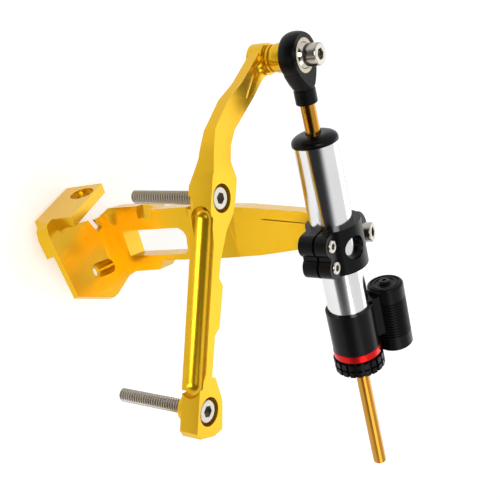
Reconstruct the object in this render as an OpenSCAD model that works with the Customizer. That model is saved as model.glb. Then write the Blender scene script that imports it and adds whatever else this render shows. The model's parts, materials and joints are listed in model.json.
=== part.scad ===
// Motorcycle steering damper with its clamp, its two brackets and their screws.
// Millimetres. +Z is up along the pivot screws and the damper lies along Y, rod end at +Y.
// The origin is the middle of the counterbored hole in the riser bracket's hook.

/* [Damper] */
// Diameter of the piston rod
rod_d = 9; // [8.5:0.25:9.5]
// Rod end pivot to the free tip of the rod
rod_reach = 292; // [288:1:310]
// Outside diameter of the tube
tube_d = 27; // [26.5:0.25:27.5]
// Wall of the tube
tube_wall = 2; // [1.5:0.25:2.5]
// Length of tube seen between the top cap and the lower head
tube_show = 113; // [111:1:116]
// Rod end pivot to the crown of the top cap
cap_from_pivot = 46; // [45:1:48]
// Height of the top cap's dome
cap_dome = 4.5; // [4:0.5:5.5]
// Diameter of the flat on the top cap's crown
cap_crown_d = 13; // [12:0.5:15]
// Rod end pivot to the middle of the piston
piston_at = 143.5; // [142.5:0.5:145]
// Length of the piston
piston_len = 14; // [12:0.5:14.5]
// Diameter of the flow holes in the piston
flow_d = 2; // [1.5:0.25:2.25]

/* [Lower head and adjuster] */
// Diameter of the lower head
head_d = 31; // [30.5:0.25:32]
// Length of the lower head
head_len = 29; // [28:0.5:31]
// Diameter of the marker ring
ring_d = 31.6; // [31:0.2:32.4]
// Height of the marker ring
ring_h = 5.5; // [5:0.5:7]
// Diameter of the adjuster knob over its lugs
knob_d = 33.4; // [32.8:0.2:33.6]
// Height of the adjuster knob
knob_h = 10; // [9.5:0.5:12]
// Lugs round the knob
knob_lugs = 20; // [16:1:24]
// Width of the slots between the lugs
knob_slot = 1.8; // [1.2:0.2:2.2]
// Depth of the slots between the lugs
knob_cut = 1.6; // [1:0.2:2]
// Diameter of the valve sleeve where the knob sits
sleeve_d = 17; // [16.5:0.25:17.5]
// Diameter of the valve sleeve's flange
flange_d = 25.2; // [24.6:0.2:25.8]
// Depth of the groove for the knob's clip
clip_cut = 0.9; // [0.7:0.1:1.1]

/* [Reservoir] */
// Diameter of the reservoir
res_d = 24; // [23:0.25:24]
// Length of the reservoir's body
res_len = 46.5; // [45:0.5:49]
// Reservoir axis to the damper axis, sideways
res_side = 24.5; // [24.5:0.25:25.5]
// Reservoir axis to the damper axis, upwards
res_up = 15.5; // [15.5:0.25:16.5]
// Wall of the reservoir
res_wall = 2.5; // [2:0.25:3]
// Distance from one cooling fin to the next
fin_pitch = 2; // [1.8:0.1:2.2]
// Depth of the grooves between the fins
fin_cut = 1; // [0.6:0.1:1.2]
// Radius of the reservoir's rounded rim
res_rim = 2.2; // [1.5:0.1:2.4]

/* [Clamp] */
// Length of the clamp along the tube
clamp_len = 30; // [29:0.5:32]
// Wall of the clamp's ring
clamp_wall = 4; // [3.5:0.25:5]
// Width of the clamp's slit
slit = 1.5; // [1:0.25:2]
// Diameter of the round window in the clamp
window_d = 15; // [12:1:16]
// Diameter of the eye's ring
eye_d = 29; // [28:0.5:31]
// Thickness of the eye's ring
eye_h = 10; // [9.5:0.5:10.5]
// Damper axis to the eye, sideways
eye_side = 29; // [28.5:0.5:31]
// Eye's middle plane below the damper axis
eye_drop = 5; // [4:0.5:6]
// Rod end pivot to the eye along the damper
eye_at = 126.5; // [125.5:0.5:128]

/* [Pivots] */
// Diameter of the pivot balls
ball_d = 18; // [17.5:0.25:18.5]
// Length of the pivot balls along their bores
ball_w = 14; // [13.5:0.25:14.5]
// Outside diameter of the ball liners
liner_d = 20; // [19.5:0.5:21]
// Diameter of the pivot screws and of the bracket screws
screw_d = 8; // [7.5:0.25:8.25]
// Diameter of their heads
screw_head_d = 13; // [12.5:0.25:13.25]
// Height of their heads
screw_head_h = 8; // [7:0.5:8.5]
// Length of the eye's screw under its head
eye_screw_len = 35; // [32:1:37]
// Diameter of the rod end's housing
housing_d = 28; // [27:0.5:30]
// Width of the rod end's housing
housing_w = 10.5; // [10:0.25:10.75]
// Rod end pivot to the end of its shank
shank_reach = 28; // [27:0.5:29]
// Diameter of the rod end's shank
shank_d = 13; // [12.5:0.25:13.5]

/* [Link bracket] */
// Distance between the two bracket screws
bolt_pitch = 115; // [112:1:118]
// Length of the two bracket screws under the head
bolt_len = 55; // [45:1:60]
// Mean diameter of the bracket screws' threads
thread_d = 7.2; // [7:0.05:7.4]
// Thickness of the bar
bar_h = 16; // [15:0.5:18]
// Depth of the counterbores
bar_counterbore = 9; // [8.5:0.5:10]
// Diameter of the counterbores
counterbore_d = 16; // [15.5:0.25:16.5]
// Angle of the bar from the damper's axis, seen from above
link_turn = 29.2; // [26:0.2:32]
// Upper bracket screw to the rod end pivot, across the bar
arm_across = 41; // [39:0.5:43]
// Upper bracket screw to the rod end pivot, along the bar
arm_along = 84.6; // [83:0.2:88]
// Radius of the flute along the bar
flute_r = 7; // [6.5:0.25:7.5]
// Diameter of the arm's end boss
boss_d = 18.6; // [18:0.2:20]
// Height of the grooved spacer
spacer_h = 12.2; // [11:0.2:14]
// Diameter of the grooved spacer
spacer_d = 17; // [16:0.5:18]

/* [Riser bracket] */
// Lean of the riser from the eye's axis
riser_tilt = 11; // [10:0.5:11.5]
// Turn of the riser about its axis
riser_spin = 16; // [10:1:22]
// Thickness of the riser
riser_w = 20; // [18:0.5:22]
// Eye pivot to the foot's face along the riser
riser_len = 185; // [180:1:195]
// Angle of the foot's face from square to the riser
foot_lean = 18.6; // [16:0.2:21]
// Thickness of the foot's plate
foot_h = 4; // [3.5:0.5:6]
// Thickness of the foot under its slot
foot_boss_h = 10; // [8:0.5:12]
// Thickness of the foot's hook wall
hook_w = 7.5; // [7:0.5:9]
// Diameter of the hole through the hook wall
hook_hole_d = 10.5; // [9:0.5:11]
// Diameter of the hook hole's counterbore
hook_counterbore_d = 17; // [14:0.5:18]
// Length of the slot in the foot
slot_len = 26; // [22:0.5:28]
// Width of the slot in the foot
slot_w = 10.5; // [8.5:0.5:11.5]
// Depth of the slotted recess
slot_deep = 7.5; // [6.5:0.1:8]
// Screw hole in the slotted recess
foot_hole_d = 6.6; // [6:0.1:7]

/* [Fits] */
// Clearance between pieces that are fixed together
fit = 0.05; // [0.02:0.01:0.08]
// Radial clearance between pieces that run on each other
run = 0.06; // [0.04:0.01:0.1]

/* [Hidden] */
$fn = 64;
rod_r = rod_d / 2;
tube_r = tube_d / 2;
bore_r = tube_r - tube_wall;
// stations along the damper, from the rod end pivot
cap_lip = cap_from_pivot + cap_dome;
tube_start = cap_lip + 1.5;
head_start = tube_start + tube_show;
tube_end = head_start + 7;
head_end = head_start + head_len;
ring_end = head_end + ring_h;
knob_start = ring_end + 0.6;
knob_end = knob_start + knob_h;
plug_end = tube_start + 14;
sleeve_start = head_end - 5.3;
sleeve_r = sleeve_d / 2;
clip_r = sleeve_r - clip_cut;
piston_top = piston_at - piston_len / 2;
piston_bottom = piston_at + piston_len / 2;
clamp_start = eye_at - clamp_len / 2 - 7.5;
clamp_end = clamp_start + clamp_len;
clamp_r = tube_r + clamp_wall;
screw_a = clamp_start + 7;
screw_b = clamp_start + 21.5;
lug_side = tube_r + 6.4;
res_start = head_start - 5.5;
res_r = res_d / 2;
res_bore_r = res_r - res_wall;
res_end = res_start + res_len;
gas_piston_at = res_start + 28.5;
screw_r = screw_d / 2;
ball_half = ball_w / 2;
boss_drop = 2.4;
// plain shank of a bracket screw, from under its head to just behind the bar
plain_len = bar_h - bar_counterbore + 1.3;
bar_top = -(ball_half + spacer_h - boss_drop);
foot_z = -riser_len;
rod_end_pos = [-eye_side, eye_at, eye_drop];

function turn_x(v, a) = [v.x, v.y * cos(a) - v.z * sin(a), v.y * sin(a) + v.z * cos(a)];
function turn_y(v, a) = [v.x * cos(a) + v.z * sin(a), v.y, v.z * cos(a) - v.x * sin(a)];
function turn_z(v, a) = [v.x * cos(a) - v.y * sin(a), v.x * sin(a) + v.y * cos(a), v.z];

// the hook wall in the foot's frame: top corner, turn in plan, slope of the top edge
hook_corner = [-53.5, 6, 15];
hook_plan = 19.4;
hook_slope = 6.4;
hook_len = 52;
hook_hole = [38, -hook_w / 2, -10];
hook_on_wall = turn_x(turn_z(turn_y(hook_hole, hook_slope), hook_plan), foot_lean);
hook_in_foot = turn_x(hook_corner + hook_on_wall, -foot_lean);
hook_in_riser = [-riser_w / 2, 20.5, foot_z] + hook_in_foot;
hook_pos = turn_y(turn_z(hook_in_riser, -riser_spin), riser_tilt);

// moves the eye-centred layout to the hook hole
module placed() translate(-hook_pos) children();

// damper frame: Z runs from the rod end pivot to the rod's tip, X sideways, Y up
module on_damper() placed() translate(rod_end_pos) rotate([90, 0, 0]) children();

// riser frame: Z along the riser, origin at the eye
module on_riser() placed() rotate([0, riser_tilt, 0]) rotate([0, 0, -riser_spin]) children();

// link frame: origin at the upper bracket screw on the bar's top face
module on_link() placed() translate(rod_end_pos) rotate([0, 0, -link_turn])
    translate([-arm_across, -arm_along, bar_top]) children();

module ring(outer, inner, from, to) {
    translate([0, 0, from]) difference() {
        cylinder(r = outer, h = to - from);
        translate([0, 0, -1]) cylinder(r = inner, h = to - from + 2);
    }
}

module o_ring(middle, thick, at) {
    translate([0, 0, at]) rotate_extrude() translate([middle, 0]) circle(d = thick, $fn = 32);
}

// socket head screw, head upwards, underside of the head at zero
module socket_screw(d, head_d, head_h, len) {
    difference() {
        union() {
            cylinder(d = head_d, h = head_h - 0.6);
            translate([0, 0, head_h - 0.6]) cylinder(d1 = head_d, d2 = head_d - 1.2, h = 0.6);
            translate([0, 0, -len + 0.8]) cylinder(d = d, h = len);
            translate([0, 0, -len]) cylinder(d1 = d - 1.6, d2 = d, h = 0.8);
        }
        translate([0, 0, head_h * 0.45]) cylinder(d = d * 0.86, h = head_h, $fn = 6);
    }
}

// pivot ball with its bore along Z
module pivot_ball() {
    difference() {
        intersection() {
            sphere(d = ball_d);
            cube([ball_d + 2, ball_d + 2, ball_w], center = true);
        }
        cylinder(r = screw_r + fit, h = ball_w + 2, center = true);
    }
}

// liner round a pivot ball, axis along Z
module ball_liner(width) {
    difference() {
        cylinder(d = liner_d, h = width, center = true);
        sphere(d = ball_d + 2 * run);
    }
}

module damper_tube() color("silver") on_damper() ring(tube_r, bore_r, tube_start + fit, tube_end);

module top_cap() {
    color("#202020") on_damper() difference() {
        union() {
            rotate_extrude() polygon(concat(
                [for (a = [0 : 15 : 90]) [cap_crown_d / 2 + (tube_r + 0.8 - cap_crown_d / 2) * sin(a),
                    cap_lip - cap_dome * cos(a)]],
                [[tube_r + 0.8, tube_start], [0, tube_start], [0, cap_from_pivot]]));
            translate([0, 0, tube_start - 1]) cylinder(r = bore_r - fit, h = plug_end - tube_start + 1);
        }
        cylinder(r = rod_r + 0.35, h = rod_reach);
        translate([0, 0, tube_start - 2]) cylinder(r = rod_r + 3, h = 3.5);
        translate([0, 0, tube_start + 3]) cylinder(r = rod_r + 2, h = 20);
        ring(bore_r + 2, bore_r - 1.6, tube_start + 6, tube_start + 8.6);
    }
}

module top_bush() color("#a8793a") on_damper()
    ring(rod_r + 2 - fit, rod_r + run, tube_start + 3 + fit, plug_end);

module top_seal() color("#30302c") on_damper()
    ring(rod_r + 3 - fit, rod_r + run, tube_start - 2 + fit, tube_start + 1.5 - fit);

module top_o_ring() color("#181818") on_damper() o_ring(bore_r - 0.85, 1.4, tube_start + 7.3);

// the reservoir's outside with its rounded rim and its cooling fins, top at zero
module reservoir_shell() {
    difference() {
        rotate_extrude() polygon(concat(
            [for (a = [0 : 15 : 90]) [res_r - res_rim + res_rim * sin(a), res_rim - res_rim * cos(a)]],
            [[res_r, res_len - 1], [res_r - 1, res_len], [0, res_len], [0, 0]]));
        for (i = [0 : 12]) ring(res_r + 1, res_r - fin_cut, 11 + i * fin_pitch, 11.9 + i * fin_pitch);
    }
}

module lower_head() {
    away = norm([res_side, res_up]);
    color("#202020") on_damper() difference() {
        union() {
            translate([0, 0, head_start]) cylinder(d = head_d, h = head_len);
            // web between the head and the reservoir
            rotate([0, 0, atan2(res_up, res_side)]) translate([4, -7, head_start - 1.5])
                cube([away - 6, 14, head_len - 1.5]);
            translate([res_side, res_up, res_start]) reservoir_shell();
        }
        translate([0, 0, head_start - 20]) cylinder(r = tube_r + fit, h = 27 + fit);
        cylinder(r = rod_r + 0.35, h = rod_reach);
        translate([0, 0, tube_end + 2]) cylinder(r = rod_r + 3, h = 3.5);
        translate([0, 0, tube_end + 7]) cylinder(r = rod_r + 2, h = head_len);
        translate([0, 0, sleeve_start]) cylinder(d = flange_d, h = head_len);
        ring(tube_r + 1.05, tube_r - 1, head_start + 2.5, head_start + 4);
        translate([res_side, res_up, res_start - 1]) cylinder(r = res_bore_r, h = res_len - 3);
        // oil way from the tube to the reservoir
        rotate([0, 0, atan2(res_up, res_side)]) {
            translate([rod_r + 3.4, 0, tube_end + 6.2]) rotate([0, 90, 0])
                cylinder(d = 1.2, h = away - rod_r - 3.4);
            translate([rod_r + 4.4, 0, tube_end - 1]) cylinder(d = 2, h = 8);
        }
    }
}

module lower_bush() color("#a8793a") on_damper()
    ring(rod_r + 2 - fit, rod_r + run, tube_end + 7 + fit, sleeve_start - 0.2);

module lower_seal() color("#30302c") on_damper()
    ring(rod_r + 3 - fit, rod_r + run, tube_end + 2 + fit, tube_end + 5.5 - fit);

module lower_o_ring() color("#181818") on_damper() o_ring(tube_r + 0.53, 0.94, head_start + 3.25);

module marker_ring() {
    color("#d01818") on_damper() difference() {
        union() {
            translate([0, 0, head_end + fit]) cylinder(d1 = ring_d - 1, d2 = ring_d, h = 0.5);
            translate([0, 0, head_end + 0.5 + fit]) cylinder(d = ring_d, h = ring_h - 1 - fit);
            translate([0, 0, ring_end - 0.5]) cylinder(d1 = ring_d, d2 = ring_d - 1, h = 0.5);
        }
        cylinder(r = sleeve_r + run, h = rod_reach);
    }
}

module valve_sleeve() {
    color("#b8b8b8") on_damper() difference() {
        union() {
            translate([0, 0, sleeve_start + 0.3])
                cylinder(r = flange_d / 2 - run, h = head_end - sleeve_start - 0.7);
            translate([0, 0, sleeve_start + 1]) cylinder(r = sleeve_r, h = knob_end - sleeve_start - 2.5);
        }
        cylinder(r = rod_r + 0.5, h = rod_reach);
        ring(sleeve_r + 2, clip_r, knob_end - 3, knob_end - 1.9);
        for (a = [0 : 60 : 300]) rotate([0, 0, a]) translate([sleeve_r + 1.9, 0, sleeve_start])
            cylinder(d = 1.6, h = 8);
    }
}

module adjuster_knob() {
    color("#181818") on_damper() difference() {
        union() {
            translate([0, 0, knob_start]) cylinder(d1 = knob_d - 1.2, d2 = knob_d, h = 0.6);
            translate([0, 0, knob_start + 0.6]) cylinder(d = knob_d, h = knob_h - 1.2);
            translate([0, 0, knob_end - 0.6]) cylinder(d1 = knob_d, d2 = knob_d - 1.2, h = 0.6);
        }
        translate([0, 0, knob_start - 1]) cylinder(r = sleeve_r + fit, h = knob_h + 2);
        translate([0, 0, knob_end - 3]) cylinder(r = sleeve_r + 3, h = 5);
        ring(knob_d, knob_d / 2 - knob_cut, knob_start + knob_h / 2 - 0.7, knob_start + knob_h / 2 + 0.7);
        for (i = [0 : knob_lugs - 1]) rotate([0, 0, i * 360 / knob_lugs])
            translate([knob_d / 2 - knob_cut, -knob_slot / 2, knob_start - 1])
                cube([5, knob_slot, knob_h + 2]);
    }
}

module knob_clip() color("#707070") on_damper()
    ring(sleeve_r + 2, clip_r + fit, knob_end - 3 + fit, knob_end - 1.9 - fit);

module reservoir_cap() {
    color("#202020") on_damper() translate([res_side, res_up, res_start]) difference() {
        union() {
            translate([0, 0, 0.8]) cylinder(r = res_bore_r - fit, h = 7.2);
            ring(res_bore_r - 1, res_bore_r - 2.6, 0.2, 1.5);
            translate([0, 0, 0.2]) cylinder(r1 = 4.4, r2 = 5, h = 0.8);
        }
        ring(res_bore_r + 2, res_bore_r - 1.6, 3.4, 5.8);
        translate([0, 0, -1]) cylinder(r = 2 + fit, h = 12);
    }
}

module reservoir_o_ring() color("#181818") on_damper() translate([res_side, res_up, res_start])
    o_ring(res_bore_r - 0.85, 1.4, 4.6);

module reservoir_screw() color("#383838") on_damper() translate([res_side, res_up, res_start + 0.2 - fit])
    rotate([180, 0, 0]) socket_screw(4, 7, 2, 6);

module gas_piston() {
    color("#b8b8b8") on_damper() translate([res_side, res_up, gas_piston_at]) difference() {
        translate([0, 0, -4]) cylinder(r = res_bore_r - run, h = 8);
        ring(res_bore_r + 2, res_bore_r - 1.6, -1.2, 1.2);
        translate([0, 0, -5]) cylinder(r = res_bore_r - 3.2, h = 4);
    }
}

module gas_piston_o_ring() color("#181818") on_damper() translate([res_side, res_up, gas_piston_at])
    o_ring(res_bore_r - 0.84, 1.5, 0);

module clamp_body() {
    color("#202020") on_damper() difference() {
        union() {
            translate([0.6, 0.6, clamp_start]) cylinder(r = clamp_r, h = clamp_len);
            for (z = [screw_a, screw_b]) translate([-lug_side, -10.5, z]) rotate([-90, 0, 0])
                cylinder(r = 7, h = 19.5);
            translate([-lug_side - 3.6, -10.5, clamp_start + 5]) cube([lug_side, 19.5, 18.5]);
            translate([-lug_side, -10.5, clamp_start]) cube([lug_side - 2, 19.5, 28.5]);
            translate([eye_side, -eye_drop - eye_h / 2, eye_at]) rotate([-90, 0, 0])
                cylinder(d = eye_d, h = eye_h);
            translate([8, -eye_drop - eye_h / 2, eye_at - 11]) cube([eye_side - 8, eye_h, 18]);
        }
        translate([0, 0, clamp_start - 1]) cylinder(r = tube_r + fit, h = clamp_len + 2);
        translate([-40, -slit / 2, clamp_start - 1]) cube([35, slit, clamp_len + 2]);
        rotate([0, 0, 107]) translate([0, 0, clamp_start + 14.4]) rotate([0, 90, 0])
            cylinder(d = window_d, h = 40);
        translate([eye_side, 0, eye_at]) rotate([90, 0, 0])
            cylinder(d = liner_d + 2 * fit, h = 60, center = true);
        for (z = [screw_a, screw_b]) translate([-lug_side, 0, z]) rotate([-90, 0, 0]) {
            translate([0, 0, 5]) cylinder(r = 4.6, h = 20);
            cylinder(r = 2.75, h = 20);
            translate([0, 0, -20]) cylinder(r = 2.5 + fit, h = 21);
        }
    }
}

module clamp_screws() {
    color("#d8d8d8") on_damper() for (z = [screw_a, screw_b])
        translate([-lug_side, 5 + fit, z]) rotate([-90, 0, 0]) socket_screw(5, 8.5, 5, 14);
}

module eye_liner() color("#e8e0c8") on_damper() translate([eye_side, -eye_drop, eye_at]) rotate([-90, 0, 0])
    ball_liner(eye_h - 0.6);

module eye_ball() color("#c8c8c8") on_riser() pivot_ball();

module eye_screw() color("#d8d8d8") on_riser() translate([0, 0, ball_half + fit])
    socket_screw(screw_d, screw_head_d, screw_head_h, eye_screw_len);

module damper_rod() {
    color("#c8a050") on_damper() difference() {
        union() {
            translate([0, 0, 16 + fit]) cylinder(r = rod_r, h = rod_reach - 17 - fit);
            translate([0, 0, rod_reach - 1]) cylinder(r1 = rod_r, r2 = rod_r - 1, h = 1);
        }
        for (z = [piston_top - 1.2, piston_bottom + 0.2]) ring(rod_r + 1, rod_r - 0.6, z, z + 1);
    }
}

module piston() {
    color("#b8b8b8") on_damper() difference() {
        translate([0, 0, piston_top]) cylinder(r = bore_r - 0.6, h = piston_len);
        translate([0, 0, piston_top - 1]) cylinder(r = rod_r + fit, h = piston_len + 2);
        ring(bore_r + 1, bore_r - 2.2, piston_at - 3, piston_at + 3);
        for (a = [0 : 60 : 300]) rotate([0, 0, a]) translate([rod_r + 2.4, 0, piston_top - 1])
            cylinder(d = flow_d, h = piston_len + 2);
    }
}

module piston_band() color("#4a6a58") on_damper()
    ring(bore_r - run, bore_r - 2.2 + fit, piston_at - 3 + fit, piston_at + 3 - fit);

module piston_clips() {
    color("#707070") on_damper() for (z = [piston_top - 1.2, piston_bottom + 0.2])
        ring(rod_r + 1.2, rod_r - 0.6 + fit, z + fit, z + 1 - fit);
}

module rod_end() {
    color("#181818") on_damper() difference() {
        union() {
            // housing with a rounded rim
            rotate([90, 0, 0]) rotate_extrude() polygon(concat(
                [for (a = [-60 : 15 : 60]) [housing_d / 2 - 2.6 + 2.6 * cos(a), housing_w / 2 * sin(a)
                    / sin(60)]],
                [[0, housing_w / 2], [0, -housing_w / 2]]));
            // neck, as flat as the housing at its root
            intersection() {
                translate([0, 0, 8]) cylinder(r1 = 11.6, r2 = shank_d / 2 - 0.6, h = 11.5);
                rotate([90, 0, 90]) linear_extrude(40, center = true)
                    polygon([[-5, 6], [5, 6], [shank_d / 2, 20], [-shank_d / 2, 20]]);
            }
            translate([0, 0, 19]) cylinder(d1 = shank_d - 1.2, d2 = shank_d, h = 0.6);
            translate([0, 0, 19.6]) cylinder(d = shank_d, h = shank_reach - 20.2);
            translate([0, 0, shank_reach - 0.6]) cylinder(d1 = shank_d, d2 = shank_d - 1.2, h = 0.6);
        }
        rotate([90, 0, 0]) cylinder(d = liner_d + 2 * fit, h = 60, center = true);
        translate([0, 0, 16]) cylinder(r = rod_r + fit, h = 30);
    }
}

module rod_end_liner() color("#e8e0c8") on_damper() rotate([-90, 0, 0]) ball_liner(housing_w - 0.6);

module rod_end_ball() color("#c8c8c8") placed() translate(rod_end_pos) pivot_ball();

module rod_end_screw() color("#d8d8d8") placed() translate(rod_end_pos + [0, 0, ball_half + fit])
    socket_screw(screw_d, screw_head_d, screw_head_h, ball_w + spacer_h + 9);

// outline of the link bracket's bar, with the pad on its right edge
module bar_outline() {
    polygon([[-9.3, -7], [-4.8, -24], [-4.8, -97], [0.8, -97], [1.2, -74], [4.8, -70], [5.6, -47],
        [1.8, -43], [2.2, -34],
        [6, -17], [11, -8]]);
}

// outline of the thicker web behind the bar's face
module web_outline() {
    polygon([[-4.8, -16], [-4.8, -bolt_pitch + 10], [5.6, -bolt_pitch + 10], [5.6, -16]]);
}

// outlines of the bosses round the two bracket screws
module boss_outline() {
    polygon([[-9.3, -7], [-9.3, 12], [12.6, 12], [12.6, 0], [11, -8], [6, -17]]);
    translate([0, -bolt_pitch]) polygon([[-4.8, 20], [-9.3, 12], [-9.3, -11], [-6.5, -14], [6, -14],
        [13, -11], [11.5, 5],
        [4, 18]]);
}

// outline of the link bracket's bent arm
module arm_outline() {
    polygon([[-9.3, 0], [-8.6, 11], [-7.6, 25], [-5.6, 36], [5, 54], [17, 66],
        [arm_across - 7.5, arm_along + 4],
        [arm_across + 7.5, arm_along - 5], [38, 73], [29, 60], [19, 47], [12.3, 38.5], [8.5, 30],
            [7.5, 21], [12.6, 12],
        [12.6, 0]]);
}

module link_bracket() {
    color("#e0a81c") on_link() difference() {
        union() {
            translate([0, 0, -bar_h]) linear_extrude(bar_h) bar_outline();
            translate([0, 0, -bar_h]) linear_extrude(bar_h - 5) web_outline();
            translate([0, 0, -12]) linear_extrude(12) boss_outline();
            for (y = [0, -bolt_pitch]) translate([0, y, -bar_h]) cylinder(r = 7.5, h = bar_h);
            // the arm slopes down from the bar and then runs level
            intersection() {
                translate([0, 0, -bar_h]) linear_extrude(bar_h) arm_outline();
                rotate([90, 0, 90]) translate([0, 0, -30]) linear_extrude(120) polygon([[-1, 0], [12, 0],
                    [40, -3.5],
                    [arm_along + 30, -3.5], [arm_along + 30, -10], [40, -10.5], [20, -11.5], [6, -bar_h],
                        [-1, -bar_h]]);
            }
            translate([arm_across, arm_along, -boss_drop - 10]) cylinder(d = boss_d, h = 10);
        }
        for (y = [0, -bolt_pitch]) translate([0, y, 0]) {
            translate([0, 0, -bar_counterbore]) cylinder(d = counterbore_d, h = 20);
            translate([0, 0, -40]) cylinder(r = screw_r + fit, h = 60);
        }
        // flute with round ends along the bar's side
        translate([-8.4, -12, -6.8]) {
            translate([0, -bolt_pitch + 26, 0]) rotate([-90, 0, 0])
                cylinder(r = flute_r, h = bolt_pitch - 26);
            sphere(r = flute_r);
            translate([0, -bolt_pitch + 26, 0]) sphere(r = flute_r);
        }
        // groove left by a ball cutter beside the arm's end boss
        translate([arm_across - 9.5, arm_along - 8.5, -boss_drop + 1.6]) rotate([0, 0, 66])
            rotate([0, -86, 0]) {
            cylinder(r = 4.6, h = 20);
            sphere(r = 4.6);
        }
        translate([arm_across, arm_along, -20]) cylinder(r = screw_r + fit, h = 40);
    }
}

module link_screws() {
    color("#d8d8d8") on_link() for (y = [0, -bolt_pitch]) translate([0, y, -bar_counterbore + fit]) {
        socket_screw(screw_d, screw_head_d, screw_head_h, plain_len);
        translate([0, 0, -bolt_len + 0.8]) cylinder(d = thread_d, h = bolt_len - 2);
        translate([0, 0, -bolt_len]) cylinder(d1 = thread_d - 1.6, d2 = thread_d, h = 0.8);
    }
}

module link_spacer() {
    color("#e0a81c") on_link() translate([arm_across, arm_along, -boss_drop]) difference() {
        union() {
            translate([0, 0, fit]) cylinder(d = spacer_d - 0.8, h = spacer_h - 2 * fit);
            translate([0, 0, spacer_h * 0.55]) cylinder(d = spacer_d, h = spacer_h * 0.45 - fit);
        }
        cylinder(r = screw_r + fit, h = 60, center = true);
        for (z = [0.8, 3.6]) ring(spacer_d, spacer_d / 2 - 1.6, z, z + 1.2);
    }
}

// side view of the riser, across and along it
module riser_outline() {
    polygon([[-8.5, -13], [11, -13], [17.3, -30], [23.2, foot_z + 112], [26, foot_z + 72],
        [26, foot_z + 43],
        [29.1, foot_z + 33], [29.1, foot_z + 5], [22, foot_z - 5.5], [-19, foot_z + 9],
            [-18, foot_z + 42], [-11.4, foot_z + 47],
        [-11.4, foot_z + 97], [-10.7, foot_z + 124], [-8.3, -35]]);
}

// opening through the riser
module riser_window() {
    polygon([[11.6, foot_z + 15], [11.6, foot_z + 61], [5, foot_z + 67.4], [-4.8, foot_z + 67.4],
        [-7.2, foot_z + 65],
        [-7.2, foot_z + 19]]);
    translate([3.2, foot_z + 59]) circle(r = 8.4);
}

// foot plate seen along its normal
module foot_outline() {
    polygon([[-64, -13.5], [-53.3, -1.7], [-53.3, 12], [-36, 20], [-34, 3], [0, 3],
        [0, -2], [riser_w, -2], [riser_w, -43],
        [2, -45], [-20, -54], [-26, -55], [-62, -45]]);
}

// thicker part of the foot round its slot, not seen from the front
module foot_boss_outline() {
    polygon([[-44, -46], [-44, -14], [0, -8], [0, -4], [riser_w, -4], [riser_w, -42], [2, -44], [-20, -48]]);
}

// block under the hook wall's left end
module block_outline() {
    polygon([[-64, -13.5], [-64.5, 0], [-63, 6], [-56, 14], [-36, 20], [-34, 3], [-40, -13.5]]);
}

// the block, its end sloping down from the plate's edge
module hook_block() {
    difference() {
        translate([0, 0, -foot_boss_h]) linear_extrude(foot_boss_h) block_outline();
        translate([-63.8, -13.5, 0]) rotate([0, 0, 48.3]) rotate([40, 0, 0])
            translate([-30, -30, 0]) cube([80, 60, 40]);
    }
}

// concave corner of radius r between the X axis and the Y axis
module cove(r) {
    polygon(concat([[1, -1], [-r, -1]], [for (a = [0 : 15 : 90]) [-r + r * sin(a), r - r * cos(a)]],
        [[1, r]]));
}

module hook_wall() {
    translate(hook_corner) rotate([foot_lean, 0, 0]) rotate([0, 0, hook_plan]) rotate([0, hook_slope, 0])
        children();
}

// foot frame: Z square to the foot's plate, X across the riser, origin on the riser's front
module on_foot() translate([-riser_w / 2, 20.5, foot_z]) rotate([-foot_lean, 0, 0]) children();

module slot_outline(len, width) {
    square([len - width, width], center = true);
    for (s = [-1, 1]) translate([s * (len - width) / 2, 0]) circle(d = width);
}

module riser_bracket() {
    color("#e0a81c") on_riser() difference() {
        union() {
            rotate([90, 0, 90]) linear_extrude(riser_w, center = true) riser_outline();
            translate([0, 0, -14]) cylinder(r = 7, h = 14 - ball_half - fit);
            on_foot() {
                difference() {
                    union() {
                        translate([0, 0, -foot_h]) linear_extrude(foot_h) foot_outline();
                        hook_block();
                    }
                    // nothing stands out past the hook wall's outer face
                    hook_wall() translate([-30, 0, -60]) cube([120, 40, 90]);
                }
                translate([0, 0, -foot_boss_h]) linear_extrude(foot_boss_h) foot_boss_outline();
                hook_wall() translate([0, -hook_w, -29]) cube([hook_len, hook_w, 29]);
                // cove at the foot of the hook wall
                translate([hook_corner.x, hook_corner.y - 2, 0]) rotate([0, 0, hook_plan])
                    rotate([90, 0, 90])
                    translate([0, 0, 1]) linear_extrude(18) cove(6);
            }
        }
        rotate([90, 0, 90]) linear_extrude(riser_w + 40, center = true) riser_window();
        translate([0, 0, -32]) cylinder(r = screw_r + fit, h = 40);
        // the front thins towards the eye
        rotate([90, 0, 0]) translate([0, 0, -60]) linear_extrude(120)
            polygon([[-riser_w / 2, foot_z + 106], [-7, -10], [-30, -10], [-30, foot_z + 106]]);
        // crease across the front where it starts to thin
        translate([-riser_w / 2, 12, foot_z + 102]) rotate([165, 0, 0]) translate([-1, 0, -0.4])
            cube([1.4, 26, 0.8]);
        // milled line along the front and two nicks in its top edge
        translate([-10, 13.6, -59]) rotate([8.5, 0, 0]) cube([3.4, 0.8, 34]);
        for (z = [35, 76]) translate([-riser_w / 2, 29.5, foot_z + z]) rotate([0, 0, 45])
            cube([14, 14, 11], center = true);
        on_foot() {
            // slotted recess over a round hole
            translate([-23, -33, -slot_deep]) linear_extrude(20) slot_outline(slot_len, slot_w);
            translate([-23, -33, -foot_boss_h - 1]) cylinder(d = foot_hole_d, h = foot_boss_h);
            hook_wall() translate([hook_hole.x, 0, hook_hole.z]) rotate([90, 0, 0]) {
                cylinder(d = hook_hole_d, h = 60, center = true);
                translate([0, 0, -40]) cylinder(d = hook_counterbore_d, h = 42.5);
            }
        }
    }
}

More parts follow.
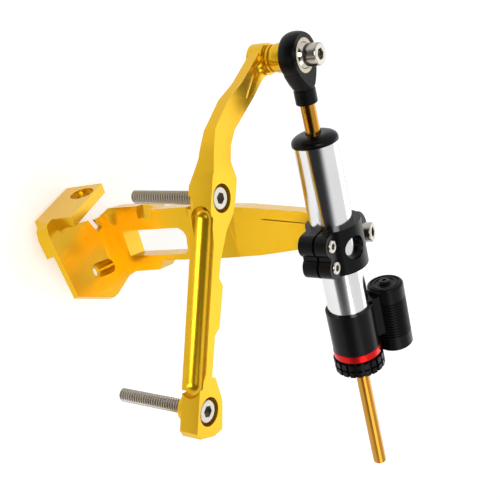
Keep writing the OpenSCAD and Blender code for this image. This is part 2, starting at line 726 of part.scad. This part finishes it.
riser_bracket();
eye_screw();
eye_ball();
clamp_body();
clamp_screws();
eye_liner();
damper_tube();
top_cap();
top_bush();
top_seal();
top_o_ring();
lower_head();
lower_bush();
lower_seal();
lower_o_ring();
marker_ring();
reservoir_cap();
reservoir_o_ring();
reservoir_screw();
gas_piston();
gas_piston_o_ring();
damper_rod();
piston();
piston_band();
piston_clips();
rod_end();
rod_end_liner();
link_bracket();
link_screws();
link_spacer();
rod_end_ball();
rod_end_screw();
adjuster_knob();
valve_sleeve();
knob_clip();
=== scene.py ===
"""Motorcycle steering damper kit: finishes, edge breaks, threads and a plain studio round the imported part."""
import json
import math

import bpy
from mathutils import Matrix, Vector


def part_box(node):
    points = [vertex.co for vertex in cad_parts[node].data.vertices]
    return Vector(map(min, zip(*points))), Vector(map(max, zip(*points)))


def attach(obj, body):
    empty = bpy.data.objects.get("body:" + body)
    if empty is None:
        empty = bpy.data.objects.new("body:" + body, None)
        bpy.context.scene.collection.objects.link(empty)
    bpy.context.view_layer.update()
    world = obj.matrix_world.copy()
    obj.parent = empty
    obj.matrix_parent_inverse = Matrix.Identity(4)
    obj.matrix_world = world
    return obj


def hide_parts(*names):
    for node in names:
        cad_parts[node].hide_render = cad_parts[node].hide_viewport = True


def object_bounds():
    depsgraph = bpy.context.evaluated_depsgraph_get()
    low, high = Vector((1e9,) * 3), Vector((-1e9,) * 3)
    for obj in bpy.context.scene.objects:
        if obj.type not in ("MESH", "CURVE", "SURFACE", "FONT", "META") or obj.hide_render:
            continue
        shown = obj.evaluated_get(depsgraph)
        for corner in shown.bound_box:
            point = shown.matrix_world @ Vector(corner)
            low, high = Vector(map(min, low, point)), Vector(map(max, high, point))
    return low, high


bl_info = {
    "name": "Steering damper kit",
    "version": (1, 0, 0),
    "blender": (4, 5, 0),
    "location": "View3D > Sidebar > Damper",
    "description": "Dresses a packed steering damper kit with finishes, edge breaks and screw threads",
    "category": "Object",
}

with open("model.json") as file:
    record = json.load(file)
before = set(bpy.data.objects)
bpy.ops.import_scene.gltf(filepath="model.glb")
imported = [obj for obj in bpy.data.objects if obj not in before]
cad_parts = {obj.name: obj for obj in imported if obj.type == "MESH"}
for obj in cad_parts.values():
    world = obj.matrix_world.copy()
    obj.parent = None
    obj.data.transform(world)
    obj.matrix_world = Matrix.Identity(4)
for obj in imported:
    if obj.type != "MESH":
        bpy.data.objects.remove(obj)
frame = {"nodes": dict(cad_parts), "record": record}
CAD_BOX = [list(corner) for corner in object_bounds()]
MM = 0.001

# mesh clean-up and edge breaks
MERGE_WITHIN = 0.002 * MM
FLAT_WITHIN = math.radians(0.6)
BREAK_ABOVE = math.radians(28)
SMOOTH_BELOW = math.radians(32)
BREAK_SEGMENTS = 2

# bracket screws: thread, head and socket
THREAD_R = 3.95 * MM
SHANK_R = 3.93 * MM
HEAD_R = 6.5 * MM
HEAD_H = 8 * MM
PLAIN_LEN = 7 * MM
RUN_OUT = 1 * MM
SOCKET_R = 3.45 * MM
SOCKET_DEEP = 4.4 * MM
ROUND_STEPS = 48
WIND_STEPS = 36
THREAD_SMOOTH_BELOW = math.radians(28)


class DamperSizes(bpy.types.PropertyGroup):
    """Sizes of what is added to the solids."""
    bracket_edge: bpy.props.FloatProperty(
        name="Bracket edge", description="Width of the edge break on the gold brackets",
        default=0.6 * MM, min=0.1 * MM, max=1.5 * MM, unit="LENGTH")
    black_edge: bpy.props.FloatProperty(
        name="Black part edge", description="Width of the edge break on the black anodised pieces",
        default=0.5 * MM, min=0.1 * MM, max=1.2 * MM, unit="LENGTH")
    fine_edge: bpy.props.FloatProperty(
        name="Fine edge", description="Width of the edge break on screws, rings and rod",
        default=0.2 * MM, min=0.05 * MM, max=0.5 * MM, unit="LENGTH")
    thread_pitch: bpy.props.FloatProperty(
        name="Thread pitch",
        description="Pitch of the bracket screws' thread, drawn coarser than M8 so that it shows",
        default=1.75 * MM, min=0.8 * MM, max=2.5 * MM, unit="LENGTH")
    thread_depth: bpy.props.FloatProperty(
        name="Thread depth", description="Depth of the bracket screws' thread",
        default=0.95 * MM, min=0.3 * MM, max=1.2 * MM, unit="LENGTH")


class DamperColours(bpy.types.PropertyGroup):
    """Main colours, as sRGB hex values."""
    gold: bpy.props.StringProperty(
        name="Gold", description="Gold anodised brackets", default="E3B41C")
    black: bpy.props.StringProperty(
        name="Black", description="Black anodised clamp, head and knob", default="070708")
    red: bpy.props.StringProperty(
        name="Red", description="Red anodised marker ring", default="D01512")
    rod: bpy.props.StringProperty(
        name="Rod", description="Gold nitride coating of the rod", default="C08A34")
    tube: bpy.props.StringProperty(
        name="Tube", description="Clear anodised tube", default="E2E2E3")
    steel: bpy.props.StringProperty(
        name="Screw steel", description="Stainless screws and pivot balls", default="B4AFA6")
    liner: bpy.props.StringProperty(
        name="Liner", description="Pale liners of the pivot balls", default="E6DCC0")


def linear(colour):
    """sRGB hex text to linear RGBA."""
    parts = [int(colour[i:i + 2], 16) / 255 for i in (0, 2, 4)]
    return [c / 12.92 if c <= 0.04045 else ((c + 0.055) / 1.055) ** 2.4 for c in parts] + [1.0]


def add(tree, kind, settings=None, links=None):
    """Adds a node, sets its properties and inputs, and links its inputs."""
    node = tree.nodes.new(kind)
    for key, value in (settings or {}).items():
        if isinstance(key, int) or key in node.inputs:
            node.inputs[key].default_value = value
        else:
            setattr(node, key, value)
    for key, source in (links or {}).items():
        tree.links.new(source, node.inputs[key])
    return node


def blank(name):
    """A material with an empty node tree, a surface shader and an output."""
    material = bpy.data.materials.new(name)
    material.use_nodes = True
    tree = material.node_tree
    tree.nodes.clear()
    shader = add(tree, "ShaderNodeBsdfPrincipled")
    add(tree, "ShaderNodeOutputMaterial", links={"Surface": shader.outputs["BSDF"]})
    return material, tree, shader


def speckled(name, low, high, patch_mm, rough, grain_mm, bump, stretch=(1, 1, 1), **sockets):
    """A finish whose colour drifts between two shades over patches, with a grain in its gloss and relief."""
    material, tree, shader = blank(name)
    where = add(tree, "ShaderNodeTexCoord").outputs["Object"]
    patch = add(tree, "ShaderNodeTexNoise", {"Scale": 1000 / patch_mm, "Detail": 2.0}, {"Vector": where})
    shade = add(tree, "ShaderNodeMix", {"data_type": "RGBA", 6: linear(low), 7: linear(high)},
                {0: patch.outputs["Fac"]})
    drawn = add(tree, "ShaderNodeMapping", {"Scale": stretch}, {"Vector": where})
    grain = add(tree, "ShaderNodeTexNoise", {"Scale": 1000 / grain_mm, "Detail": 3.0},
                {"Vector": drawn.outputs["Vector"]})
    gloss = add(tree, "ShaderNodeMapRange", {"To Min": rough[0], "To Max": rough[1]},
                {"Value": grain.outputs["Fac"]})
    relief = add(tree, "ShaderNodeBump", {"Strength": bump, "Distance": 0.05 * MM},
                 {"Height": grain.outputs["Fac"]})
    for key, value in sockets.items():
        shader.inputs[key.replace("_", " ")].default_value = value
    tree.links.new(shade.outputs[2], shader.inputs["Base Color"])
    tree.links.new(gloss.outputs["Result"], shader.inputs["Roughness"])
    tree.links.new(relief.outputs["Normal"], shader.inputs["Normal"])
    return material


def make_finishes(colours):
    return {
        # milled aluminium under a gold dye: satin flats that still mirror broad lights in gold and brown
        "gold_anodised": speckled(
            "gold_anodised_milled_aluminium", colours.gold, "DDAA17", 40, (0.24, 0.28), 4, 0.002,
            Metallic=0.78),
        # fine blasted aluminium under a black dye: deep black with small soft highlights
        "black_anodised": speckled(
            "black_anodised_aluminium", colours.black, "0A0A0B", 25, (0.22, 0.3), 0.3, 0.05,
            Specular_IOR_Level=0.12),
        # aluminium under a red dye: a bright saturated band
        "red_anodised": speckled(
            "red_anodised_aluminium", colours.red, "B80C0C", 15, (0.2, 0.32), 0.3, 0.05,
            Metallic=0.85),
        # turned tube, clear anodised: satin with fine lines round the tube
        "silver_anodised": speckled(
            "clear_anodised_turned_tube", colours.tube, "D4D4D6", 30, (0.12, 0.18), 0.5, 0.02,
            stretch=(0.1, 1, 0.1), Metallic=1.0),
        # ground rod under a gold nitride: sharp bands of gold and brown along the rod
        "coated_rod": speckled(
            "nitride_coated_rod_steel", colours.rod, "B07C28", 20, (0.1, 0.2), 0.4, 0.03,
            stretch=(0.2, 1, 0.2), Metallic=1.0),
        # rolled and headed stainless steel: grey, with soft glints along the threads
        "screw_steel": speckled(
            "stainless_screw_steel", colours.steel, "A8A39B", 6, (0.18, 0.24), 3, 0.01,
            Metallic=1.0),
        # polished ball: small sharp mirrored lights
        "ball_steel": speckled(
            "polished_ball_steel", colours.steel, "D8D6D2", 8, (0.06, 0.12), 0.3, 0.01,
            Metallic=1.0),
        # woven lining: a pale matt ring round the ball
        "liner": speckled(
            "woven_lined_race", colours.liner, "D8CCAC", 4, (0.35, 0.5), 0.4, 0.15),
        # moulded nylon: black, a little duller than the anodised pieces
        "rod_end_plastic": speckled(
            "glass_filled_nylon", "060607", "09090A", 12, (0.3, 0.4), 0.35, 0.08,
            Specular_IOR_Level=0.12),
        # rubber: dull black rings
        "seal_rubber": speckled(
            "nitrile_rubber", "0E0E0E", "161616", 5, (0.5, 0.7), 0.3, 0.15),
        # pressed powder: brown with a fine grain
        "bronze": speckled(
            "sintered_bronze", "A9793C", "8E6230", 2, (0.3, 0.5), 0.3, 0.2,
            Metallic=1.0),
        # oxide on spring steel: dark grey with a soft sheen
        "black_steel": speckled(
            "black_oxide_steel", "242424", "303030", 5, (0.25, 0.4), 0.3, 0.08,
            Metallic=0.8),
        # bare turned aluminium: pale grey with turning lines
        "plain_aluminium": speckled(
            "turned_aluminium", "C4C4C6", "B4B4B6", 12, (0.2, 0.34), 0.3, 0.08,
            stretch=(0.1, 1, 0.1), Metallic=1.0),
        # filled plastic band: dull green
        "band_plastic": speckled(
            "filled_ptfe", "3F5E50", "344F43", 3, (0.45, 0.6), 0.4, 0.1),
    }


FINISHES = {}


def deselect():
    """Nothing selected and no edit mode."""
    if bpy.context.mode != "OBJECT":
        bpy.ops.object.mode_set(mode="OBJECT")
    bpy.ops.object.select_all(action="DESELECT")


def activate(piece):
    """Only this piece is selected, and it is active."""
    deselect()
    piece.select_set(True)
    bpy.context.view_layer.objects.active = piece


def slot_of(node):
    """The record's material slot of a CAD node."""
    for entry in frame["record"]["subparts"]:
        if entry["node"] == node:
            return entry["material_slot"]
    raise RuntimeError("no slot for " + node)


def body_of(node):
    """The CAD body that a node belongs to."""
    for body, members in frame["record"]["behaviour"]["bodies"].items():
        if node in members:
            return body
    raise RuntimeError("no body for " + node)


def paint(piece, slot):
    """One finish all over a piece."""
    piece.data.materials.clear()
    piece.data.materials.append(FINISHES[slot])


def dress(node, edge, name):
    """A copy of a CAD node with its triangles merged, flats made whole and sharp edges broken."""
    piece = bpy.data.objects.new(name, frame["nodes"][node].data.copy())
    bpy.context.scene.collection.objects.link(piece)
    activate(piece)
    bpy.ops.object.mode_set(mode="EDIT")
    bpy.ops.mesh.select_all(action="SELECT")
    bpy.ops.mesh.remove_doubles(threshold=MERGE_WITHIN)
    bpy.ops.mesh.dissolve_limited(angle_limit=FLAT_WITHIN)
    bpy.ops.object.mode_set(mode="OBJECT")
    bevel = piece.modifiers.new("edge", "BEVEL")
    bevel.width = edge
    bevel.segments = BREAK_SEGMENTS
    bevel.limit_method = "ANGLE"
    bevel.angle_limit = BREAK_ABOVE
    bpy.ops.object.modifier_apply(modifier=bevel.name)
    bpy.ops.object.shade_smooth_by_angle(angle=SMOOTH_BELOW)
    flats = piece.modifiers.new("flats", "WEIGHTED_NORMAL")
    flats.weight = 90
    flats.keep_sharp = True
    bpy.ops.object.modifier_apply(modifier=flats.name)
    paint(piece, slot_of(node))
    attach(piece, body_of(node))
    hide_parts(node)
    return piece


class DAMPER_OT_inner_finishes(bpy.types.Operator):
    """Gives every solid its finish, the hidden inner pieces among them"""
    bl_idname = "damper.inner_finishes"
    bl_label = "Inner finishes"

    def execute(self, context):
        FINISHES.update(make_finishes(context.scene.damper_colours))
        for name, node in frame["nodes"].items():
            node.data.materials.clear()
            node.data.materials.append(FINISHES[slot_of(name)])
        return {"FINISHED"}


class DAMPER_OT_gold_brackets(bpy.types.Operator):
    """Riser bracket, link bracket and grooved spacer with broken edges"""
    bl_idname = "damper.gold_brackets"
    bl_label = "Gold brackets"

    def execute(self, context):
        edge = context.scene.damper_sizes.bracket_edge
        dress("riser_bracket", edge, "milled_riser")
        dress("link_bracket", edge, "milled_link")
        dress("link_spacer", edge * 0.5, "grooved_spacer")
        return {"FINISHED"}


class DAMPER_OT_black_pieces(bpy.types.Operator):
    """Clamp, top cap, head, reservoir cap, knob and rod end with broken edges"""
    bl_idname = "damper.black_pieces"
    bl_label = "Black pieces"

    def execute(self, context):
        edge = context.scene.damper_sizes.black_edge
        dress("clamp_body", edge, "pinch_clamp")
        dress("top_cap", edge * 0.4, "domed_cap")
        dress("lower_head", edge * 0.5, "finned_head")
        dress("reservoir_cap", edge * 0.5, "reservoir_lid")
        dress("adjuster_knob", edge * 0.6, "lugged_knob")
        dress("rod_end", edge, "rod_end_housing")
        return {"FINISHED"}


class DAMPER_OT_bright_pieces(bpy.types.Operator):
    """Tube, rod, ring, pivot balls, liners, short screws, sleeve and clip with fine edge breaks"""
    bl_idname = "damper.bright_pieces"
    bl_label = "Bright pieces"

    def execute(self, context):
        edge = context.scene.damper_sizes.fine_edge
        for node, name in (
                ("damper_tube", "turned_tube"),
                ("damper_rod", "coated_rod"),
                ("marker_ring", "red_ring"),
                ("eye_ball", "eye_pivot_ball"),
                ("rod_end_ball", "rod_end_pivot_ball"),
                ("eye_liner", "eye_race"),
                ("rod_end_liner", "rod_end_race"),
                ("eye_screw", "eye_cap_screw"),
                ("rod_end_screw", "rod_end_cap_screw"),
                ("clamp_screws", "clamp_cap_screws"),
                ("reservoir_screw", "bleed_screw"),
                ("valve_sleeve", "turned_sleeve"),
                ("knob_clip", "sleeve_clip")):
            dress(node, edge, name)
        return {"FINISHED"}


def link_screw_places():
    """Axis of each bracket screw, from the record's mounts."""
    mounts = {m["name"]: m["pos_m"] for m in frame["record"]["mounts"]}
    return [Vector(mounts["bolt_upper"]), Vector(mounts["bolt_lower"])]


def lathe(name, profile, steps):
    """A closed turned form about Z from points of radius and height."""
    deselect()
    bpy.ops.mesh.primitive_circle_add(vertices=steps, radius=profile[0][0], location=(0, 0, profile[0][1]))
    piece = bpy.context.object
    piece.name = name
    bpy.ops.object.transform_apply(location=True, rotation=True, scale=True)
    bpy.ops.object.mode_set(mode="EDIT")
    bpy.ops.mesh.select_all(action="SELECT")
    bpy.ops.mesh.edge_face_add()
    for (r0, z0), (r1, z1) in zip(profile, profile[1:]):
        bpy.ops.mesh.extrude_region_move(TRANSFORM_OT_translate={"value": (0, 0, z1 - z0)})
        bpy.ops.transform.resize(value=(r1 / r0, r1 / r0, 1))
    bpy.ops.mesh.select_all(action="SELECT")
    bpy.ops.mesh.normals_make_consistent(inside=False)
    bpy.ops.object.mode_set(mode="OBJECT")
    return piece


def helix_ridge(name, radius, depth, pitch, low, high):
    """A closed thread ridge wound up about Z between two heights."""
    crest = pitch * 0.07
    root = pitch * 0.38
    # the ridge's foot lies a little inside the core, so no gap shows
    inside = radius - depth - 0.1 * MM
    places = ((inside, -root), (inside, root), (radius, crest), (radius, -crest))
    loop = bpy.data.meshes.new(name)
    loop.from_pydata([(r, 0, low + root + z) for r, z in places], [(0, 1), (1, 2), (2, 3), (3, 0)], [])
    ridge = bpy.data.objects.new(name, loop)
    bpy.context.scene.collection.objects.link(ridge)
    screw = ridge.modifiers.new("wind", "SCREW")
    screw.axis = "Z"
    screw.angle = 2 * math.pi
    screw.screw_offset = pitch
    screw.iterations = int((high - low - 2 * root) / pitch)
    screw.steps = WIND_STEPS
    screw.render_steps = WIND_STEPS
    screw.use_merge_vertices = False
    activate(ridge)
    bpy.ops.object.modifier_apply(modifier=screw.name)
    bpy.ops.object.mode_set(mode="EDIT")
    bpy.ops.mesh.select_all(action="DESELECT")
    bpy.ops.mesh.select_non_manifold(extend=False)
    bpy.ops.mesh.fill()
    bpy.ops.mesh.select_all(action="SELECT")
    bpy.ops.mesh.normals_make_consistent(inside=False)
    bpy.ops.object.mode_set(mode="OBJECT")
    return ridge


class DAMPER_OT_bracket_screws(bpy.types.Operator):
    """The two long bracket screws with wound threads and socket heads"""
    bl_idname = "damper.bracket_screws"
    bl_label = "Bracket screws"

    def execute(self, context):
        sizes = context.scene.damper_sizes
        low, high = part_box("link_screws")
        tip = low.z
        top = high.z
        under = top - HEAD_H
        plain_end = under - PLAIN_LEN
        core = THREAD_R - sizes.thread_depth
        joined = []
        for at in link_screw_places():
            shank = lathe("screw_core", [
                (core - 0.7 * MM, tip), (core, tip + 0.9 * MM),
                (core, plain_end - RUN_OUT), (SHANK_R, plain_end), (SHANK_R, under),
                (HEAD_R - 0.3 * MM, under + 0.001 * MM), (HEAD_R, under + 0.3 * MM),
                (HEAD_R, top - 0.7 * MM), (HEAD_R - 0.25 * MM, top - 0.25 * MM),
                (HEAD_R - 0.7 * MM, top)], ROUND_STEPS)
            socket = lathe("screw_socket", [(SOCKET_R, top - SOCKET_DEEP), (SOCKET_R, top + 1 * MM)], 6)
            cut = shank.modifiers.new("socket", "BOOLEAN")
            cut.operation = "DIFFERENCE"
            cut.solver = "EXACT"
            cut.object = socket
            activate(shank)
            bpy.ops.object.modifier_apply(modifier=cut.name)
            bpy.data.objects.remove(socket)
            ridge = helix_ridge("screw_ridge", THREAD_R, sizes.thread_depth, sizes.thread_pitch,
                                tip + 0.4 * MM, plain_end - 0.6 * MM)
            deselect()
            ridge.select_set(True)
            shank.select_set(True)
            bpy.context.view_layer.objects.active = shank
            bpy.ops.object.join()
            shank.data.transform(Matrix.Translation((at.x, at.y, 0)))
            joined.append(shank)
        deselect()
        for shank in joined:
            shank.select_set(True)
        bpy.context.view_layer.objects.active = joined[0]
        bpy.ops.object.join()
        screws = joined[0]
        screws.name = "threaded_bracket_screws"
        activate(screws)
        bpy.ops.object.shade_smooth_by_angle(angle=THREAD_SMOOTH_BELOW)
        paint(screws, "screw_steel")
        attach(screws, "link")
        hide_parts("link_screws")
        return {"FINISHED"}


# the photograph's camera, in the part's frame
CAMERA_AT = (-0.37703, 0.1756, 0.43164)
CAMERA_RIGHT = (0.522, -0.224, 0.823)
CAMERA_UP = (0.457, 0.888, -0.048)
CAMERA_LENS = 59.0

# towards the part of the room that reflections show dark
DARK_SIDE = (-0.87, 0.35, 0.15)
# how far the floor is lifted to white for the eye and for reflections
FLOOR_LIFT = 0.27
# name, place in metres, size in metres and power in watts of each lamp
LAMPS = (
    ("key", (-0.8, 0.45, 1.1), 0.6, 7),
    ("low", (-0.95, 0.08, 0.06), 0.3, 0.55),
    ("fill", (-0.6, -0.9, 0.9), 0.6, 2),
    ("back", (1.2, -0.65, 0.85), 1.1, 4),
)


def studio_world(scene):
    """White to the eye; in reflections a bright room that is dark round the camera."""
    world = bpy.data.worlds.new("studio")
    scene.world = world
    world.use_nodes = True
    tree = world.node_tree
    tree.nodes.clear()
    seen = add(tree, "ShaderNodeLightPath").outputs
    soft = add(tree, "ShaderNodeBackground", {"Color": (1, 1, 1, 1), "Strength": 0.55})
    white = add(tree, "ShaderNodeBackground", {"Color": (1, 1, 1, 1), "Strength": 1.0})
    where = add(tree, "ShaderNodeTexCoord").outputs["Generated"]
    towards = add(tree, "ShaderNodeVectorMath", {"operation": "DOT_PRODUCT", 1: DARK_SIDE}, {0: where})
    level = add(tree, "ShaderNodeMapRange",
                {"From Min": 0.35, "From Max": 0.65, "To Min": 1.0, "To Max": 0.02,
                 "interpolation_type": "SMOOTHSTEP"},
                {"Value": towards.outputs["Value"]})
    mirrored = add(tree, "ShaderNodeBackground", {"Color": (1, 1, 1, 1)},
                   {"Strength": level.outputs["Result"]})
    glossy = add(tree, "ShaderNodeMixShader",
                 links={0: seen["Is Glossy Ray"], 1: soft.outputs[0], 2: mirrored.outputs[0]})
    shown = add(tree, "ShaderNodeMixShader",
                links={0: seen["Is Camera Ray"], 1: glossy.outputs[0], 2: white.outputs[0]})
    add(tree, "ShaderNodeOutputWorld", links={"Surface": shown.outputs[0]})


def floor_material():
    """White paper, lifted to white for the eye and for reflections, with the shadow kept."""
    material, tree, shader = blank("white_paper_floor")
    seen = add(tree, "ShaderNodeLightPath").outputs
    looked_at = add(tree, "ShaderNodeMath", {"operation": "ADD"},
                    {0: seen["Is Camera Ray"], 1: seen["Is Glossy Ray"]})
    lift = add(tree, "ShaderNodeMapRange", {"To Max": FLOOR_LIFT}, {"Value": looked_at.outputs["Value"]})
    tree.links.new(lift.outputs["Result"], shader.inputs["Emission Strength"])
    shader.inputs["Emission Color"].default_value = (1, 1, 1, 1)
    shader.inputs["Base Color"].default_value = linear("FBFBFA")
    shader.inputs["Roughness"].default_value = 0.9
    shader.inputs["Specular IOR Level"].default_value = 0.1
    return material


class DAMPER_OT_stage(bpy.types.Operator):
    """Floor, lights, world and camera"""
    bl_idname = "damper.stage"
    bl_label = "Stage"

    def execute(self, context):
        scene = context.scene
        scene.view_settings.view_transform = "Standard"
        studio_world(scene)
        floor_z = CAD_BOX[0][2] - 0.0005
        deselect()
        bpy.ops.mesh.primitive_plane_add(
            size=8, location=(3.26, -1.68, floor_z), rotation=(0, 0, math.radians(-27.3)))
        floor = context.object
        floor.name = "pale_floor"
        floor.data.materials.append(floor_material())
        target = (Vector(CAD_BOX[0]) + Vector(CAD_BOX[1])) / 2
        for name, at, size, power in LAMPS:
            lamp = bpy.data.lights.new(name, "AREA")
            lamp.size = size
            lamp.energy = power
            holder = bpy.data.objects.new(name, lamp)
            scene.collection.objects.link(holder)
            holder.location = at
            holder.visible_camera = False
            holder.rotation_euler = (target - Vector(at)).to_track_quat("-Z", "Y").to_euler()
        right = Vector(CAMERA_RIGHT).normalized()
        up = (Vector(CAMERA_UP) - right * right.dot(Vector(CAMERA_UP))).normalized()
        back = right.cross(up)
        lens = bpy.data.cameras.new("photo_camera")
        lens.lens = CAMERA_LENS
        lens.sensor_width = 36
        lens.clip_start = 0.01
        camera = bpy.data.objects.new("photo_camera", lens)
        scene.collection.objects.link(camera)
        facing = Matrix((right, up, back)).transposed().to_4x4()
        camera.matrix_world = Matrix.Translation(CAMERA_AT) @ facing
        scene.camera = camera
        return {"FINISHED"}


STEPS = (DAMPER_OT_stage, DAMPER_OT_inner_finishes, DAMPER_OT_gold_brackets, DAMPER_OT_black_pieces,
         DAMPER_OT_bright_pieces, DAMPER_OT_bracket_screws)


class DAMPER_PT_kit(bpy.types.Panel):
    bl_idname = "DAMPER_PT_kit"
    bl_label = "Steering damper kit"
    bl_space_type = "VIEW_3D"
    bl_region_type = "UI"
    bl_category = "Damper"

    def draw(self, context):
        for step in STEPS:
            self.layout.operator(step.bl_idname)


CLASSES = (DamperSizes, DamperColours) + STEPS + (DAMPER_PT_kit,)


def register():
    for item in CLASSES:
        bpy.utils.register_class(item)
    bpy.types.Scene.damper_sizes = bpy.props.PointerProperty(type=DamperSizes)
    bpy.types.Scene.damper_colours = bpy.props.PointerProperty(type=DamperColours)


def unregister():
    del bpy.types.Scene.damper_colours
    del bpy.types.Scene.damper_sizes
    for item in reversed(CLASSES):
        bpy.utils.unregister_class(item)


def main():
    register()
    bpy.ops.damper.stage()
    bpy.ops.damper.inner_finishes()
    bpy.ops.damper.gold_brackets()
    bpy.ops.damper.black_pieces()
    bpy.ops.damper.bright_pieces()
    bpy.ops.damper.bracket_screws()


if __name__ == "__main__":
    main()
